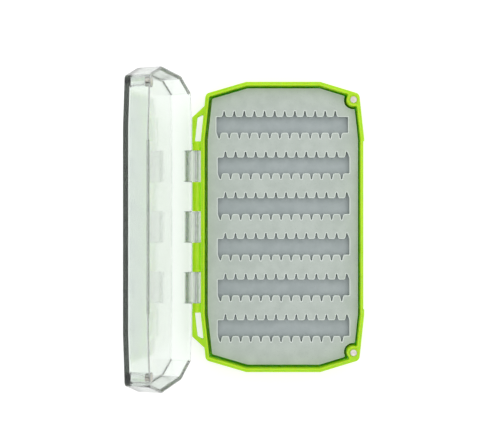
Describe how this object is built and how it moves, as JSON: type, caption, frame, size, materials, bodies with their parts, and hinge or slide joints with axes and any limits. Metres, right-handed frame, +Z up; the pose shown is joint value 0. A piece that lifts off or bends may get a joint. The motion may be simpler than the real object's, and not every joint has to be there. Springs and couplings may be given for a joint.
{
  "type": "fly box",
  "caption": "Faceted pocket box with a clear hinged lid, magnet closure, lanyard loops and a foam insert whose toothed slots hold fishing flies.",
  "frame": {"origin": "on the tray's flat underside, midway along it and in line with the middle of its end flats", "axes": "+X from the hinge to the opening side, +Y along the box and its hinge, +Z up out of the tray"},
  "size_m": [0.1371, 0.1782, 0.1159],
  "materials": {
    "lime_plastic": "translucent moulded lime, smooth",
    "clear_plastic": "polished clear",
    "steel_pin": "drawn wire",
    "plated_magnet": "satin nickel plate",
    "adhesive_film": "matt",
    "backing_foam": "closed-cell foam, skinned",
    "sheet_foam": "closed-cell foam, skinned"
  },
  "bodies": {
    "tray_body": {"tray": "lime_plastic", "hinge_pin": "steel_pin", "tray_magnet_upper": "plated_magnet", "tray_magnet_lower": "plated_magnet", "insert_film": "adhesive_film", "insert_backing": "backing_foam", "insert_sheet": "sheet_foam"},
    "lid_body": {"lid": "clear_plastic", "lid_magnet_upper": "plated_magnet", "lid_magnet_lower": "plated_magnet"}
  },
  "joints": [
    {"name": "lid_hinge", "type": "hinge", "parent": "tray_body", "child": "lid_body", "pos_m": [-0.05335, 0, 0.0135], "axis": [0, 1, 0], "range_deg": [0, 100.2]}
  ]
}
